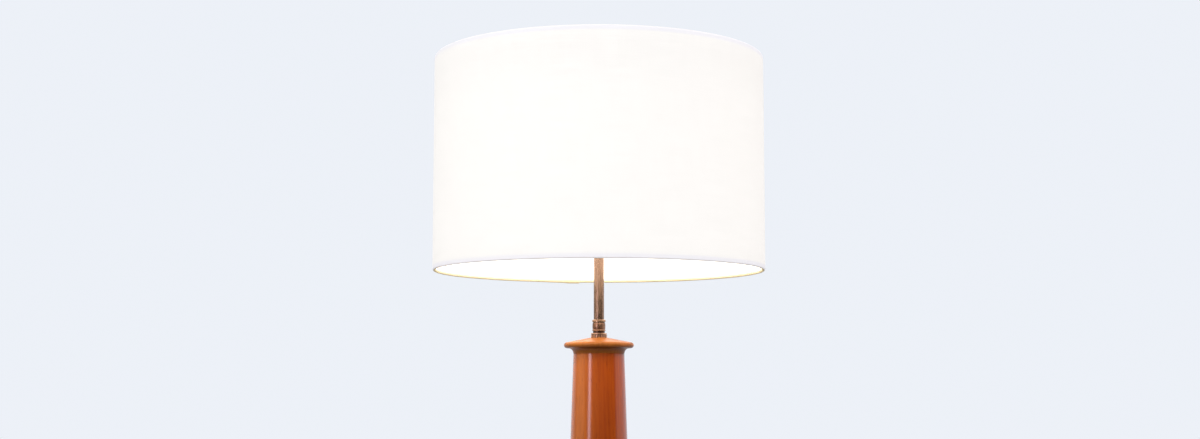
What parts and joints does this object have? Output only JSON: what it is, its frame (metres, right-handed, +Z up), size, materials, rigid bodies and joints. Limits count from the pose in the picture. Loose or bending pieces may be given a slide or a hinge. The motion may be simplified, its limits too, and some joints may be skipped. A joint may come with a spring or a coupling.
{
  "type": "table lamp",
  "caption": "Table lamp: turned, tapering wood column on a weighted disc foot, brass neck and collar, rolled-edge linen drum shade on a harp, turn switch and screw-in bulb.",
  "frame": {"origin": "on the lamp's axis, where the felt pad meets the table", "axes": "+Z up along the column, -Y the front with the switch knob, +Y the cord side, +X to the right seen from the front"},
  "size_m": [0.406, 0.406, 0.8682],
  "materials": {
    "wood": "clear satin lacquer over reddish hardwood",
    "felt": "matte felt",
    "iron": "black painted casting",
    "zinc_steel": "zinc plated",
    "black_plastic": "moulded",
    "aged_brass": "darkened and lacquered, satin",
    "harp_brass": "satin",
    "holder_brass": "drawn sheet, satin",
    "fibre": "pressed insulating fibre",
    "phenolic": "moulded, glossy",
    "switch_steel": "turned",
    "bright_alloy": "pressed, bright",
    "opal_glass": "opal, lit from inside",
    "black_glass": "glass insulator, glossy",
    "solder": "soldered contact",
    "white_wire": "white powder coat",
    "linen": "fine slubbed linen",
    "styrene": "translucent backing sheet"
  },
  "bodies": {
    "lamp": {"felt_pad": "felt", "foot": "wood", "base_weight": "iron", "weight_screws": "zinc_steel", "cord_bushing": "black_plastic", "column": "wood", "column_cap": "wood", "pipe_washer": "zinc_steel", "pipe_nut": "zinc_steel", "lamp_pipe": "zinc_steel", "lock_ring": "aged_brass", "neck_collar": "aged_brass", "neck_tube": "aged_brass", "neck_cap": "aged_brass", "harp_saddle": "harp_brass", "harp": "harp_brass", "holder_cap": "holder_brass", "set_screw": "zinc_steel", "holder_shell": "holder_brass", "holder_liner": "fibre", "holder_body": "phenolic", "terminal_screws": "zinc_steel", "screw_shell": "bright_alloy", "centre_contact": "holder_brass"},
    "switch": {"switch_shaft": "switch_steel", "switch_knob": "phenolic"},
    "left_sleeve": {"left_harp_sleeve": "harp_brass"},
    "right_sleeve": {"right_harp_sleeve": "harp_brass"},
    "bulb_tip": {"bulb_contact": "solder"},
    "bulb": {"bulb_glass": "opal_glass", "bulb_screw_cap": "bright_alloy", "bulb_insulator": "black_glass"},
    "shade": {"harp_stud": "aged_brass", "spider_hub": "white_wire", "spider_spokes": "white_wire", "shade_top_ring": "white_wire", "shade_bottom_ring": "white_wire", "shade_linen": "linen", "shade_liner": "styrene", "shade_seam": "styrene", "shade_top_hem": "linen", "shade_bottom_hem": "linen"},
    "washer": {"finial_washer": "aged_brass"},
    "finial": {"finial": "aged_brass"}
  },
  "joints": [
    {"name": "switch_turn", "type": "hinge", "parent": "lamp", "child": "switch", "pos_m": [0, -0.02, 0.66573], "axis": [0, -1, 0], "continuous": true},
    {"name": "left_sleeve_lift", "type": "slide", "parent": "lamp", "child": "left_sleeve", "axis": [0, 0, 1], "range_m": [0, 0.01]},
    {"name": "right_sleeve_lift", "type": "slide", "parent": "lamp", "child": "right_sleeve", "axis": [0, 0, 1], "range_m": [0, 0.01]},
    {"name": "bulb_rise", "type": "slide", "parent": "lamp", "child": "bulb_tip", "axis": [0, 0, 1], "range_m": [0, 0.022]},
    {"name": "bulb_turn", "type": "hinge", "parent": "bulb_tip", "child": "bulb", "pos_m": [0, 0, 0.7], "axis": [0, 0, 1], "range_deg": [0, 2160]},
    {"name": "shade_swivel", "type": "hinge", "parent": "lamp", "child": "shade", "pos_m": [0, 0, 0.84], "axis": [0, 0, 1], "continuous": true},
    {"name": "finial_turn", "type": "hinge", "parent": "shade", "child": "washer", "pos_m": [0, 0, 0.85], "axis": [0, 0, 1], "range_deg": [0, 3600]},
    {"name": "finial_rise", "type": "slide", "parent": "washer", "child": "finial", "axis": [0, 0, 1], "range_m": [0, 0.0095]}
  ],
  "couplings": [
    {"joint": "bulb_rise", "follows": "bulb_turn", "m_per_rad": 0.00057296},
    {"joint": "finial_rise", "follows": "finial_turn", "m_per_rad": 0.00014961}
  ]
}
